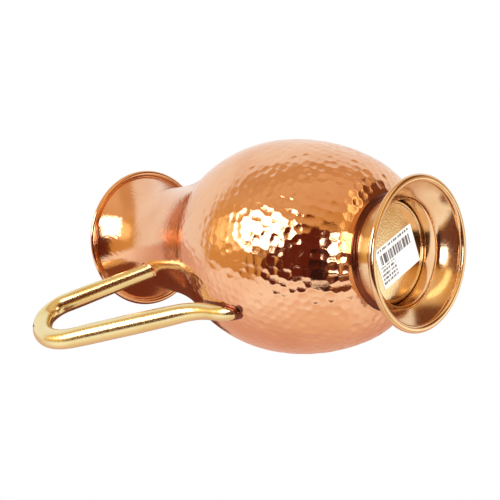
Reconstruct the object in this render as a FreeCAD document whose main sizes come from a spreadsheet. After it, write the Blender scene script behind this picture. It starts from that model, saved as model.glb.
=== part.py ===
"""Hammered copper jug with a brass foot and a brass tube handle.

The frame stands the jug upright: +Z runs up its axis, the origin is the centre of the foot's
resting face, and the handle lies in the XZ plane on the +X side. Lengths are in millimetres.
"""
import FreeCAD
import Part
import Sketcher

import collections
import math
import os

# Driving dimensions. Radii and heights are measured in the jug's own frame.
SIZES = {
    # hammered copper shell
    "sheet_wall": 1.0,
    "jug_height": 260.0,
    "belly_radius": 68.0,
    "belly_height": 100.0,
    "heel_radius": 32.5,
    "heel_height": 22.0,
    "heel_arc": 44.0,
    "bowl_arc": 132.0,
    "shoulder_arc": 105.0,
    "neck_radius": 39.0,
    "neck_height": 222.0,
    "flare_arc": 68.0,
    "flare_turn": 32.5,
    "mouth_radius": 52.5,
    "bead_radius": 2.0,
    "wire_radius": 1.0,
    "wire_gap": 0.05,
    "seam_braze_width": 4.4,
    "seam_braze_rise": 0.9,
    "seam_braze_root": 0.4,
    # disc that closes the bottom of the belly
    "disc_radius": 31.4,
    "disc_wall": 1.0,
    "disc_ring_radius": 28.6,
    "disc_ring_section": 0.9,
    # brass foot
    "foot_radius": 44.0,
    "foot_wall": 1.6,
    "collar_radius": 31.5,
    "foot_bend": 4.0,
    "foot_bend_height": 13.6,
    "brim_arc": 40.0,
    "lip_round": 1.8,
    "sole_width": 0.8,
    "foot_braze_root": 0.5,
    "foot_braze_rise": 1.2,
    "foot_braze_width": 2.6,
    "foot_braze_depth": 3.3,
    # brass tube handle: corners of its centre line in the XZ plane, and the bend at each
    "tube_radius": 6.75,
    "tube_wall": 1.5,
    "handle_root_x": 34.0,
    "handle_root_z": 206.4,
    "crest_x": 95.3,
    "crest_z": 273.1,
    "crest_bend": 15.0,
    "hip_x": 130.2,
    "hip_z": 238.3,
    "hip_bend": 46.0,
    "landing_x": 70.0,
    "landing_z": 123.4,
    "landing_bend": 60.0,
    "handle_tip_z": 88.0,
    "handle_tip_round": 5.5,
    "bore_end_z": 131.0,
    "braze_radius": 9.4,
    "braze_height": 2.4,
    # paper label under the foot
    "label_length": 36.0,
    "label_width": 24.0,
    "label_paper": 0.15,
    "label_x": -3.0,
    "label_y": -5.0,
    "label_turn": 7.0,
}

BEAD_HEIGHT = "Sizes.jug_height - Sizes.bead_radius"
DISC_BOTTOM = "Sizes.heel_height - Sizes.disc_wall"

# How far apart two lengths may be and still count as the same.
TOLERANCE = 0.01

# A point of a sketch is (geometry number, point number); the sketch's axes are geometry too.
ORIGIN = (-1, 1)
LEVEL_AXIS = -1
UPRIGHT_AXIS = -2

# An edge of a sketch: its geometry number, and its points in the order it was drawn.
Edge = collections.namedtuple("Edge", "index first last centre")

doc = FreeCAD.newDocument("Jug")
sheet = doc.addObject("Spreadsheet::Sheet", "Sizes")
for row, (alias, value) in enumerate(SIZES.items(), start=1):
    sheet.set(f"A{row}", alias)
    sheet.set(f"B{row}", str(value))
    sheet.setAlias(f"B{row}", alias)
doc.recompute()


# ---------------------------------------------------------------- sketch helpers

def new_body(label):
    """Return an empty body with the label that names its file."""
    body = doc.addObject("PartDesign::Body", label)
    body.Label = label
    return body


def new_sketch(body, name, role="XZ_Plane"):
    """Return a sketch attached to one of the body's own origin planes."""
    plane = next(f for f in body.Origin.OriginFeatures if f.Role == role)
    sketch = body.newObject("Sketcher::SketchObject", name)
    sketch.AttachmentSupport = [(plane, "")]
    sketch.MapMode = "FlatFace"
    doc.recompute()
    return sketch


def flat(x, y):
    """Return a sketch point."""
    return FreeCAD.Vector(x, y, 0)


def add_line(sketch, start, end):
    """Add a straight edge."""
    index = sketch.addGeometry(Part.LineSegment(flat(*start), flat(*end)))
    return Edge(index, (index, 1), (index, 2), None)


def add_arc(sketch, centre, radius, start, end):
    """Add the shorter arc between two directions from its centre."""
    first = math.atan2(start[1] - centre[1], start[0] - centre[0])
    last = math.atan2(end[1] - centre[1], end[0] - centre[0])
    sweep = (last - first) % (2 * math.pi)
    circle = Part.Circle(flat(*centre), FreeCAD.Vector(0, 0, 1), radius)
    if sweep < math.pi:
        index = sketch.addGeometry(Part.ArcOfCircle(circle, first, first + sweep))
        return Edge(index, (index, 1), (index, 2), (index, 3))
    index = sketch.addGeometry(Part.ArcOfCircle(circle, last, last - sweep + 2 * math.pi))
    return Edge(index, (index, 2), (index, 1), (index, 3))


def add_circle(sketch, centre, radius):
    """Add a whole circle; return its geometry number and its centre."""
    circle = Part.Circle(flat(*centre), FreeCAD.Vector(0, 0, 1), radius)
    index = sketch.addGeometry(circle)
    return index, (index, 3)


def add_ring_of_lines(sketch, corners):
    """Add straight edges from corner to corner and back to the first."""
    edges = [add_line(sketch, a, b) for a, b in zip(corners, corners[1:] + corners[:1])]
    for one, two in zip(edges, edges[1:] + edges[:1]):
        join(sketch, one.last, two.first)
    return edges


def bind(sketch, constraint, expression):
    """Add a dimension to the sketch and tie it to the sheet."""
    index = sketch.addConstraint(constraint)
    sketch.setExpression(f"Constraints[{index}]", expression)


def bind_x(sketch, point, expression):
    """Tie a point's distance from the sketch's upright axis to the sheet."""
    here = sketch.getPoint(*point).x
    bind(sketch, Sketcher.Constraint("DistanceX", *ORIGIN, *point, here), expression)


def bind_y(sketch, point, expression):
    """Tie a point's height above the sketch's origin to the sheet."""
    here = sketch.getPoint(*point).y
    bind(sketch, Sketcher.Constraint("DistanceY", *ORIGIN, *point, here), expression)


def bind_radius(sketch, index, expression):
    """Tie an arc's or circle's radius to the sheet."""
    here = sketch.Geometry[index].Radius
    bind(sketch, Sketcher.Constraint("Radius", index, here), expression)


def join(sketch, one, two):
    """Make two points meet."""
    sketch.addConstraint(Sketcher.Constraint("Coincident", *one, *two))


def run_into(sketch, one, two):
    """Make two edges meet at the given ends with no kink."""
    sketch.addConstraint(Sketcher.Constraint("Tangent", *one, *two))


def level(sketch, one, two):
    """Put two points at the same height."""
    sketch.addConstraint(Sketcher.Constraint("Horizontal", *one, *two))


def lay_level(sketch, *edges):
    """Make straight edges level."""
    for edge in edges:
        sketch.addConstraint(Sketcher.Constraint("Horizontal", edge.index))


def stand_upright(sketch, *edges):
    """Make straight edges upright."""
    for edge in edges:
        sketch.addConstraint(Sketcher.Constraint("Vertical", edge.index))


def put_on_line(sketch, point, index):
    """Put a point on an edge or an axis, or on the line that continues it."""
    sketch.addConstraint(Sketcher.Constraint("PointOnObject", *point, index))


def turn_solid(body, sketch, name, kind="PartDesign::Revolution"):
    """Turn a sketch right round the jug's axis, adding to the body or cutting it."""
    feature = body.newObject(kind, name)
    feature.Profile = sketch
    feature.ReferenceAxis = (sketch, ["V_Axis"])
    feature.Angle = 360
    doc.recompute()
    return feature


def cut(label, base, tool):
    """Cut one object out of another."""
    result = doc.addObject("Part::Cut", label)
    result.Base = base
    result.Tool = tool
    doc.recompute()
    return result


def reach_point(one, reach_one, two, reach_two):
    """Return the point at given distances from two points, right of the way from one to two."""
    gap = math.dist(one, two)
    along = (reach_one ** 2 - reach_two ** 2 + gap ** 2) / (2 * gap)
    across = math.sqrt(reach_one ** 2 - along ** 2)
    unit = ((two[0] - one[0]) / gap, (two[1] - one[1]) / gap)
    return (one[0] + along * unit[0] + across * unit[1],
            one[1] + along * unit[1] - across * unit[0])


def point_towards(start, goal, distance):
    """Return the point at a distance from a start, on the way to a goal."""
    share = distance / math.dist(start, goal)
    return tuple(a + share * (b - a) for a, b in zip(start, goal))


# ---------------------------------------------------------------- the shell's outline

class ShellCurve:
    """The shell's outline, moved outwards by an offset (negative moves it inwards).

    Five arcs run up it: heel, bowl and shoulder bulge outwards, throat and flare curve inwards.
    The shoulder and the throat meet without a kink at the seam between belly and neck.
    """

    def __init__(self, offset):
        size = SIZES
        rise = size["neck_height"] - size["belly_height"]
        waisting = size["belly_radius"] - size["neck_radius"]
        self.span = (waisting ** 2 + rise ** 2) / (2 * waisting)
        self.lean = (self.span - waisting) / self.span
        self.climb = rise / self.span
        self.heel_radius = size["heel_arc"] + offset
        self.bowl_radius = size["bowl_arc"] + offset
        self.shoulder_radius = size["shoulder_arc"] + offset
        self.throat_radius = self.span - size["shoulder_arc"] - offset
        self.flare_radius = size["flare_arc"] - offset
        self.bowl_centre = (size["belly_radius"] - size["bowl_arc"], size["belly_height"])
        self.shoulder_centre = (size["belly_radius"] - size["shoulder_arc"], size["belly_height"])
        throat_x = size["neck_radius"] + self.span - size["shoulder_arc"]
        self.throat_centre = (throat_x, size["neck_height"])
        self.flare_centre = (size["neck_radius"] + size["flare_arc"], size["neck_height"])
        heel_start = (size["heel_radius"], size["heel_height"])
        self.heel_centre = reach_point(heel_start, size["heel_arc"], self.bowl_centre,
                                       size["bowl_arc"] - size["heel_arc"])
        self.equator = (size["belly_radius"] + offset, size["belly_height"])
        self.neck = (size["neck_radius"] + offset, size["neck_height"])
        self.seam = (self.shoulder_centre[0] + self.shoulder_radius * self.lean,
                     self.shoulder_centre[1] + self.shoulder_radius * self.climb)
        turn = math.radians(size["flare_turn"])
        self.lip = (self.flare_centre[0] - self.flare_radius * math.cos(turn),
                    self.flare_centre[1] + self.flare_radius * math.sin(turn))
        self.cheek = point_towards(self.bowl_centre, self.heel_centre, self.bowl_radius)
        toe_drop = self.heel_centre[1] - size["heel_height"]
        self.toe = (self.heel_centre[0] + math.sqrt(self.heel_radius ** 2 - toe_drop ** 2),
                    size["heel_height"])


# The seam's place follows from the arcs on its two sides, for an outline moved by an offset.
SPAN = ("(((Sizes.belly_radius - Sizes.neck_radius)^2"
        " + (Sizes.neck_height - Sizes.belly_height)^2)"
        " / (2 * (Sizes.belly_radius - Sizes.neck_radius)))")
LEAN = f"(1 - (Sizes.belly_radius - Sizes.neck_radius) / {SPAN})"
CLIMB = f"((Sizes.neck_height - Sizes.belly_height) / {SPAN})"


def seam_x(offset):
    """Return the expression of the seam's distance from the axis."""
    return (f"Sizes.belly_radius - Sizes.shoulder_arc"
            f" + (Sizes.shoulder_arc + ({offset})) * {LEAN}")


def seam_z(offset):
    """Return the expression of the seam's height."""
    return f"Sizes.belly_height + (Sizes.shoulder_arc + ({offset})) * {CLIMB}"


def lip_z(offset):
    """Return the expression of the height at which the flare ends."""
    return (f"Sizes.neck_height + (Sizes.flare_arc - ({offset}))"
            " * sin(Sizes.flare_turn * 1 deg)")


def draw_belly_side(sketch, curve, offset, start):
    """Draw the bowl arc from a starting point, and the shoulder arc above it."""
    bowl = add_arc(sketch, curve.bowl_centre, curve.bowl_radius, start, curve.equator)
    shoulder = add_arc(sketch, curve.shoulder_centre, curve.shoulder_radius,
                       curve.equator, curve.seam)
    join(sketch, bowl.last, shoulder.first)
    level(sketch, bowl.centre, bowl.last)
    level(sketch, shoulder.centre, shoulder.first)
    bind_x(sketch, bowl.last, f"Sizes.belly_radius + ({offset})")
    bind_y(sketch, bowl.last, "Sizes.belly_height")
    bind_radius(sketch, bowl.index, f"Sizes.bowl_arc + ({offset})")
    bind_radius(sketch, shoulder.index, f"Sizes.shoulder_arc + ({offset})")
    bind_y(sketch, shoulder.last, seam_z(offset))
    return bowl, shoulder


def draw_heel(sketch, curve, bowl):
    """Draw the heel arc, which runs into the bowl arc."""
    heel = add_arc(sketch, curve.heel_centre, curve.heel_radius, curve.toe, curve.cheek)
    run_into(sketch, heel.last, bowl.first)
    bind_y(sketch, heel.first, "Sizes.heel_height")
    return heel


def draw_outer_heel(sketch, curve, bowl):
    """Draw the heel arc of the shell's outside, which gives the heel its size and place."""
    heel = draw_heel(sketch, curve, bowl)
    bind_radius(sketch, heel.index, "Sizes.heel_arc")
    bind_x(sketch, heel.first, "Sizes.heel_radius")
    return heel


def draw_neck_side(sketch, curve, offset):
    """Draw the throat arc and the flare arc above it."""
    throat = add_arc(sketch, curve.throat_centre, curve.throat_radius, curve.seam, curve.neck)
    flare = add_arc(sketch, curve.flare_centre, curve.flare_radius, curve.neck, curve.lip)
    join(sketch, throat.last, flare.first)
    level(sketch, throat.centre, throat.last)
    level(sketch, flare.centre, flare.first)
    bind_x(sketch, throat.last, f"Sizes.neck_radius + ({offset})")
    bind_y(sketch, throat.last, "Sizes.neck_height")
    bind_radius(sketch, flare.index, f"Sizes.flare_arc - ({offset})")
    bind_y(sketch, flare.last, lip_z(offset))
    return throat, flare


def close_form(sketch, curve, offset, shoulder, lowest, start):
    """Carry an outline on up the neck, and close it along the axis down to its start."""
    throat, flare = draw_neck_side(sketch, curve, offset)
    join(sketch, shoulder.last, throat.first)
    top = add_line(sketch, curve.lip, (0, curve.lip[1]))
    axis = add_line(sketch, (0, curve.lip[1]), (0, start[1]))
    bottom = add_line(sketch, (0, start[1]), start)
    join(sketch, flare.last, top.first)
    join(sketch, top.last, axis.first)
    join(sketch, axis.last, bottom.first)
    join(sketch, bottom.last, lowest.first)
    put_on_line(sketch, top.last, UPRIGHT_AXIS)
    put_on_line(sketch, axis.last, UPRIGHT_AXIS)
    lay_level(sketch, top, bottom)


def make_outer_form():
    """Build the solid that the whole shell would fill, used to fit other pieces against it."""
    body = new_body("outer_form")
    sketch = new_sketch(body, "outer_form_outline")
    curve = ShellCurve(0.0)
    bowl, shoulder = draw_belly_side(sketch, curve, "0", curve.cheek)
    heel = draw_outer_heel(sketch, curve, bowl)
    close_form(sketch, curve, "0", shoulder, heel, curve.toe)
    turn_solid(body, sketch, "outer_form_turned")
    return body


def make_swollen_form():
    """Build the shell's solid swollen by the braze's height, from below the handle's tip up."""
    size = SIZES
    body = new_body("swollen_form")
    sketch = new_sketch(body, "swollen_form_outline")
    curve = ShellCurve(size["braze_height"])
    floor = size["handle_tip_z"] - 2 * size["tube_radius"]
    drop = size["belly_height"] - floor
    start = (curve.bowl_centre[0] + math.sqrt(curve.bowl_radius ** 2 - drop ** 2), floor)
    bowl, shoulder = draw_belly_side(sketch, curve, "Sizes.braze_height", start)
    bind_y(sketch, bowl.first, "Sizes.handle_tip_z - 2 * Sizes.tube_radius")
    close_form(sketch, curve, "Sizes.braze_height", shoulder, bowl, start)
    turn_solid(body, sketch, "swollen_form_turned")
    return body


# ---------------------------------------------------------------- copper shell

def make_belly():
    """The round belly, raised from one sheet, open at the bottom and at the seam."""
    body = new_body("belly")
    sketch = new_sketch(body, "belly_section")
    outer = ShellCurve(0.0)
    inner = ShellCurve(-SIZES["sheet_wall"])
    bowl, shoulder = draw_belly_side(sketch, outer, "0", outer.cheek)
    heel = draw_outer_heel(sketch, outer, bowl)
    inner_bowl, inner_shoulder = draw_belly_side(sketch, inner, "-Sizes.sheet_wall",
                                                 inner.cheek)
    inner_heel = draw_heel(sketch, inner, inner_bowl)
    join(sketch, inner_heel.centre, heel.centre)
    seam = add_line(sketch, outer.seam, inner.seam)
    toe = add_line(sketch, inner.toe, outer.toe)
    join(sketch, seam.first, shoulder.last)
    join(sketch, seam.last, inner_shoulder.last)
    join(sketch, toe.first, inner_heel.first)
    join(sketch, toe.last, heel.first)
    turn_solid(body, sketch, "belly_turned")
    return body


def make_neck():
    """The waisted neck with its flared mouth, rolled over a wire at the rim."""
    body = new_body("neck")
    sketch = new_sketch(body, "neck_section")
    outer = ShellCurve(0.0)
    inner = ShellCurve(-SIZES["sheet_wall"])
    throat, flare = draw_neck_side(sketch, outer, "0")
    inner_throat, inner_flare = draw_neck_side(sketch, inner, "-Sizes.sheet_wall")
    for arc, offset in ((throat, "0"), (inner_throat, "-Sizes.sheet_wall")):
        bind_x(sketch, arc.first, seam_x(offset))
        bind_y(sketch, arc.first, seam_z(offset))
    seam = add_line(sketch, inner.seam, outer.seam)
    edge = add_line(sketch, outer.lip, inner.lip)
    join(sketch, seam.first, inner_throat.first)
    join(sketch, seam.last, throat.first)
    join(sketch, edge.first, flare.last)
    join(sketch, edge.last, inner_flare.last)
    turn_solid(body, sketch, "neck_turned")
    bead = draw_rim_circle(body, "rim_bead_section", "Sizes.bead_radius")
    turn_solid(body, bead, "rim_bead")
    tunnel = draw_rim_circle(body, "wire_tunnel_section", "Sizes.wire_radius + Sizes.wire_gap")
    turn_solid(body, tunnel, "wire_tunnel", "PartDesign::Groove")
    return body


def draw_rim_circle(body, name, radius):
    """Draw a circle centred on the rolled rim."""
    size = SIZES
    sketch = new_sketch(body, name)
    place = (size["mouth_radius"] - size["bead_radius"],
             size["jug_height"] - size["bead_radius"])
    circle, centre = add_circle(sketch, place, size["wire_radius"])
    bind_x(sketch, centre, "Sizes.mouth_radius - Sizes.bead_radius")
    bind_y(sketch, centre, BEAD_HEIGHT)
    bind_radius(sketch, circle, radius)
    return sketch


def make_rim_wire():
    """The wire that stiffens the mouth, wrapped in the rolled edge of the neck."""
    body = new_body("rim_wire")
    section = draw_rim_circle(body, "rim_wire_section", "Sizes.wire_radius")
    turn_solid(body, section, "rim_wire_turned")
    return body


def make_seam_braze(belly, neck):
    """The low ridge of braze metal along the inside of the seam between belly and neck."""
    size = SIZES
    body = new_body("seam_braze_blank")
    sketch = new_sketch(body, "seam_braze_section")
    half = size["seam_braze_width"] / 2
    crest = ShellCurve(-size["sheet_wall"] - size["seam_braze_rise"])
    root = ShellCurve(size["seam_braze_root"] - size["sheet_wall"])
    lower = (root.seam[0] + half * root.climb, root.seam[1] - half * root.lean)
    upper = (root.seam[0] - half * root.climb, root.seam[1] + half * root.lean)
    edges = add_ring_of_lines(sketch, [crest.seam, lower, upper])
    root_depth = "Sizes.seam_braze_root - Sizes.sheet_wall"
    places = [("-Sizes.sheet_wall - Sizes.seam_braze_rise", "0"),
              (root_depth, "-Sizes.seam_braze_width / 2"),
              (root_depth, "Sizes.seam_braze_width / 2")]
    for edge, (offset, along) in zip(edges, places):
        bind_x(sketch, edge.first, f"{seam_x(offset)} - ({along}) * {CLIMB}")
        bind_y(sketch, edge.first, f"{seam_z(offset)} + ({along}) * {LEAN}")
    turn_solid(body, sketch, "seam_braze_ring")
    outside_neck = cut("seam_braze_outside_neck", body, neck)
    return cut("seam_braze", outside_neck, belly)


def make_base_disc():
    """The spun disc that closes the belly, with a raised ring on its underside."""
    size = SIZES
    body = new_body("base_disc")
    plate = new_sketch(body, "plate_section")
    low = size["heel_height"] - size["disc_wall"]
    high = size["heel_height"]
    corners = [(0, low), (size["disc_radius"], low), (size["disc_radius"], high), (0, high)]
    bottom, side, top, axis = add_ring_of_lines(plate, corners)
    put_on_line(plate, axis.first, UPRIGHT_AXIS)
    put_on_line(plate, axis.last, UPRIGHT_AXIS)
    lay_level(plate, bottom, top)
    stand_upright(plate, side)
    bind_x(plate, side.first, "Sizes.disc_radius")
    bind_y(plate, side.first, DISC_BOTTOM)
    bind_y(plate, side.last, "Sizes.heel_height")
    turn_solid(body, plate, "plate")
    ring = new_sketch(body, "raised_ring_section")
    circle, centre = add_circle(ring, (size["disc_ring_radius"], low),
                                size["disc_ring_section"])
    bind_x(ring, centre, "Sizes.disc_ring_radius")
    bind_y(ring, centre, DISC_BOTTOM)
    bind_radius(ring, circle, "Sizes.disc_ring_section")
    turn_solid(body, ring, "raised_ring")
    return body


# ---------------------------------------------------------------- brass foot

def foot_corners(bend, brim, lip, wall):
    """Return where the collar ends, where the bend ends and where the brim ends, on one face."""
    size = SIZES
    collar_end = (size["collar_radius"] - wall, size["foot_bend_height"])
    bend_end = point_towards(brim, bend, size["brim_arc"] + wall)
    if wall == 0:
        return collar_end, bend_end, point_towards(brim, lip, size["brim_arc"])
    return collar_end, bend_end, reach_point(lip, size["lip_round"], brim,
                                             size["brim_arc"] + wall)


def make_foot_ring():
    """The spun brass foot: an upright collar, a tight bend, and a brim with a thick round lip."""
    size = SIZES
    body = new_body("foot_ring")
    sketch = new_sketch(body, "foot_section")
    lip_round = size["lip_round"]
    top = size["heel_height"] - size["disc_wall"]
    bend = (size["collar_radius"] + size["foot_bend"], size["foot_bend_height"])
    lip = (size["foot_radius"] - lip_round, lip_round)
    inner_lip = (lip[0] - size["sole_width"], lip_round)
    brim = reach_point(lip, size["brim_arc"] + lip_round, bend,
                       size["brim_arc"] - size["foot_bend"])
    outer_ends = foot_corners(bend, brim, lip, 0)
    inner_ends = foot_corners(bend, brim, inner_lip, size["foot_wall"])

    outer_collar = add_line(sketch, (size["collar_radius"], top), outer_ends[0])
    outer_bend = add_arc(sketch, bend, size["foot_bend"], outer_ends[0], outer_ends[1])
    outer_brim = add_arc(sketch, brim, size["brim_arc"], outer_ends[1], outer_ends[2])
    outer_lip = add_arc(sketch, lip, lip_round, outer_ends[2], (lip[0], 0))
    sole = add_line(sketch, (lip[0], 0), (inner_lip[0], 0))
    lip_inside = add_arc(sketch, inner_lip, lip_round, (inner_lip[0], 0), inner_ends[2])
    inner_brim = add_arc(sketch, brim, size["brim_arc"] + size["foot_wall"],
                         inner_ends[2], inner_ends[1])
    inner_bend = add_arc(sketch, bend, size["foot_bend"] + size["foot_wall"],
                         inner_ends[1], inner_ends[0])
    inner_collar = add_line(sketch, inner_ends[0], (inner_ends[0][0], top))
    head = add_line(sketch, (inner_ends[0][0], top), (size["collar_radius"], top))

    smooth = [outer_collar, outer_bend, outer_brim, outer_lip, sole, lip_inside]
    for one, two in zip(smooth, smooth[1:]):
        run_into(sketch, one.last, two.first)
    join(sketch, lip_inside.last, inner_brim.first)
    run_into(sketch, inner_brim.last, inner_bend.first)
    run_into(sketch, inner_bend.last, inner_collar.first)
    join(sketch, inner_collar.last, head.first)
    join(sketch, head.last, outer_collar.first)
    join(sketch, outer_bend.centre, inner_bend.centre)
    join(sketch, outer_brim.centre, inner_brim.centre)
    stand_upright(sketch, outer_collar, inner_collar)
    lay_level(sketch, head)
    put_on_line(sketch, sole.first, LEVEL_AXIS)
    put_on_line(sketch, sole.last, LEVEL_AXIS)
    bind_x(sketch, head.last, "Sizes.collar_radius")
    bind_y(sketch, head.last, DISC_BOTTOM)
    bind_y(sketch, outer_bend.centre, "Sizes.foot_bend_height")
    bind_radius(sketch, outer_bend.index, "Sizes.foot_bend")
    bind_radius(sketch, outer_brim.index, "Sizes.brim_arc")
    bind_radius(sketch, inner_brim.index, "Sizes.brim_arc + Sizes.foot_wall")
    bind_radius(sketch, outer_lip.index, "Sizes.lip_round")
    bind_radius(sketch, lip_inside.index, "Sizes.lip_round")
    bind_x(sketch, outer_lip.centre, "Sizes.foot_radius - Sizes.lip_round")
    bind_x(sketch, lip_inside.centre,
           "Sizes.foot_radius - Sizes.lip_round - Sizes.sole_width")
    turn_solid(body, sketch, "skirt")
    return body


def make_foot_braze(disc, foot, outer_form):
    """The ring of braze metal in the corner between the foot and the belly."""
    size = SIZES
    body = new_body("foot_braze_blank")
    sketch = new_sketch(body, "foot_braze_section")
    root = size["collar_radius"] - size["foot_braze_root"]
    high = size["heel_height"] + size["foot_braze_rise"]
    corners = [(root, high - size["foot_braze_depth"]),
               (root + size["foot_braze_width"], high), (root, high)]
    slope, top, back = add_ring_of_lines(sketch, corners)
    root_x = "Sizes.collar_radius - Sizes.foot_braze_root"
    top_z = "Sizes.heel_height + Sizes.foot_braze_rise"
    bind_x(sketch, slope.first, root_x)
    bind_y(sketch, slope.first, f"{top_z} - Sizes.foot_braze_depth")
    bind_x(sketch, slope.last, f"{root_x} + Sizes.foot_braze_width")
    bind_y(sketch, slope.last, top_z)
    lay_level(sketch, top)
    stand_upright(sketch, back)
    turn_solid(body, sketch, "foot_braze_ring")
    outside_foot = cut("foot_braze_outside_foot", body, foot)
    outside_disc = cut("foot_braze_outside_disc", outside_foot, disc)
    return cut("foot_braze", outside_disc, outer_form)


# ---------------------------------------------------------------- brass handle

def handle_corners():
    """Return the centre line's corners as (x, z, bend radius); the two ends have no bend."""
    size = SIZES
    return [(size["handle_root_x"], size["handle_root_z"], None),
            (size["crest_x"], size["crest_z"], size["crest_bend"]),
            (size["hip_x"], size["hip_z"], size["hip_bend"]),
            (size["landing_x"], size["landing_z"], size["landing_bend"]),
            (size["landing_x"], size["handle_tip_z"], None)]


def bend_at(before, corner, after):
    """Return the start, end and centre of the tangent arc that rounds a corner."""
    x, z, radius = corner
    to_before = FreeCAD.Vector(before[0] - x, before[1] - z, 0).normalize()
    to_after = FreeCAD.Vector(after[0] - x, after[1] - z, 0).normalize()
    half = to_before.getAngle(to_after) / 2
    setback = radius / math.tan(half)
    middle = (to_before + to_after).normalize() * (radius / math.sin(half))
    return ((x + to_before.x * setback, z + to_before.y * setback),
            (x + to_after.x * setback, z + to_after.y * setback),
            (x + middle.x, z + middle.y))


def draw_bent_line(sketch, corners, end_height):
    """Draw straight runs joined by tangent bends; return the last run."""
    bends = [bend_at(*corners[i - 1:i + 2]) for i in range(1, len(corners) - 1)]
    starts = [corners[0][:2]] + [end for start, end, centre in bends]
    ends = [start for start, end, centre in bends] + [corners[-1][:2]]
    runs = [add_line(sketch, a, b) for a, b in zip(starts, ends)]
    names = ["crest", "hip", "landing"]
    for i, (start, end, centre) in enumerate(bends):
        arc = add_arc(sketch, centre, corners[i + 1][2], start, end)
        run_into(sketch, runs[i].last, arc.first)
        run_into(sketch, arc.last, runs[i + 1].first)
        bind_radius(sketch, arc.index, f"Sizes.{names[i]}_bend")
        mark_corner(sketch, names[i], runs[i], runs[i + 1])
    bind_x(sketch, runs[0].first, "Sizes.handle_root_x")
    bind_y(sketch, runs[0].first, "Sizes.handle_root_z")
    bind_y(sketch, runs[-1].last, end_height)
    return runs[-1]


def mark_corner(sketch, name, *runs):
    """Put the corner that the sheet gives on the straight runs that lead to it."""
    place = Part.Point(flat(SIZES[f"{name}_x"], SIZES[f"{name}_z"]))
    corner = (sketch.addGeometry(place, True), 1)
    for run in runs:
        put_on_line(sketch, corner, run.index)
    bind_x(sketch, corner, f"Sizes.{name}_x")
    bind_y(sketch, corner, f"Sizes.{name}_z")


def draw_whole_line(body, name):
    """Draw the handle's centre line, which ends straight down the belly."""
    sketch = new_sketch(body, name)
    last = draw_bent_line(sketch, handle_corners(), "Sizes.handle_tip_z")
    stand_upright(sketch, last)
    return sketch


def draw_bore_line(body, name):
    """Draw the part of the centre line that is hollow, which stops above the landing."""
    root, crest, hip, landing, tip = handle_corners()
    height = SIZES["bore_end_z"]
    share = (hip[1] - height) / (hip[1] - landing[1])
    stop = (hip[0] + share * (landing[0] - hip[0]), height, None)
    sketch = new_sketch(body, name)
    last = draw_bent_line(sketch, [root, crest, hip, stop], "Sizes.bore_end_z")
    mark_corner(sketch, "landing", last)
    return sketch


def sweep_circle(body, line, radius, kind):
    """Sweep a circle along a centre line, adding to the body or cutting it."""
    section = body.newObject("Sketcher::SketchObject", f"{line.Name}_section")
    section.AttachmentSupport = [(line, "Edge1")]
    section.MapMode = "NormalToEdge"
    section.MapPathParameter = 0
    doc.recompute()
    circle, centre = add_circle(section, (0, 0), SIZES["tube_radius"])
    join(section, centre, ORIGIN)
    bind_radius(section, circle, radius)
    feature = body.newObject(kind, f"{line.Name}_sweep")
    feature.Profile = section
    feature.Spine = line
    doc.recompute()
    return feature


def make_rod(label, radius):
    """Build a solid round bar that follows the whole centre line."""
    body = new_body(label)
    line = draw_whole_line(body, f"{label}_line")
    sweep_circle(body, line, radius, "PartDesign::AdditivePipe")
    return body


def make_handle(outer_form):
    """The bent tube: open against the neck, closed and rounded where it lies on the belly."""
    body = new_body("handle_tube")
    line = draw_whole_line(body, "handle_line")
    bar = sweep_circle(body, line, "Sizes.tube_radius", "PartDesign::AdditivePipe")
    tip = body.newObject("PartDesign::Fillet", "rounded_tip")
    tip.Base = (bar, lowest_edges(bar.Shape))
    tip.setExpression("Radius", "Sizes.handle_tip_round")
    doc.recompute()
    bore = draw_bore_line(body, "bore_line")
    sweep_circle(body, bore, "Sizes.tube_radius - Sizes.tube_wall",
                 "PartDesign::SubtractivePipe")
    return cut("handle", body, outer_form)


def lowest_edges(shape):
    """Return the names of the edges that lie flat at a shape's lowest height."""
    floor = min(edge.BoundBox.ZMax for edge in shape.Edges)
    return [f"Edge{number}" for number, edge in enumerate(shape.Edges, start=1)
            if edge.BoundBox.ZMax < floor + TOLERANCE]


def make_handle_brazes(outer_form, swollen_form):
    """The braze fillets at the handle's two ends, following the shell on one side."""
    sleeve = make_rod("braze_sleeve", "Sizes.braze_radius")
    core = make_rod("handle_core", "Sizes.tube_radius")
    skin = doc.addObject("Part::Common", "braze_skin")
    skin.Base = sleeve
    skin.Tool = swollen_form
    outside_shell = cut("braze_outside_shell", skin, outer_form)
    both = cut("braze_around_tube", outside_shell, core)
    return [keep_near(both, "handle_top_braze", "Sizes.neck_height"),
            keep_near(both, "handle_foot_braze", "Sizes.belly_height")]


def keep_near(both, label, height):
    """Keep the fillet that lies near a height, nearer to it than half the neck's rise."""
    block = doc.addObject("Part::Box", f"{label}_block")
    block.setExpression("Length", "2 * Sizes.belly_radius")
    block.setExpression("Width", "2 * Sizes.belly_radius")
    block.setExpression("Height", "Sizes.neck_height - Sizes.belly_height")
    block.setExpression(".Placement.Base.y", "-Sizes.belly_radius")
    block.setExpression(".Placement.Base.z",
                        f"{height} - (Sizes.neck_height - Sizes.belly_height) / 2")
    kept = doc.addObject("Part::Common", label)
    kept.Base = both
    kept.Tool = block
    doc.recompute()
    return kept


# ---------------------------------------------------------------- paper label

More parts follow.
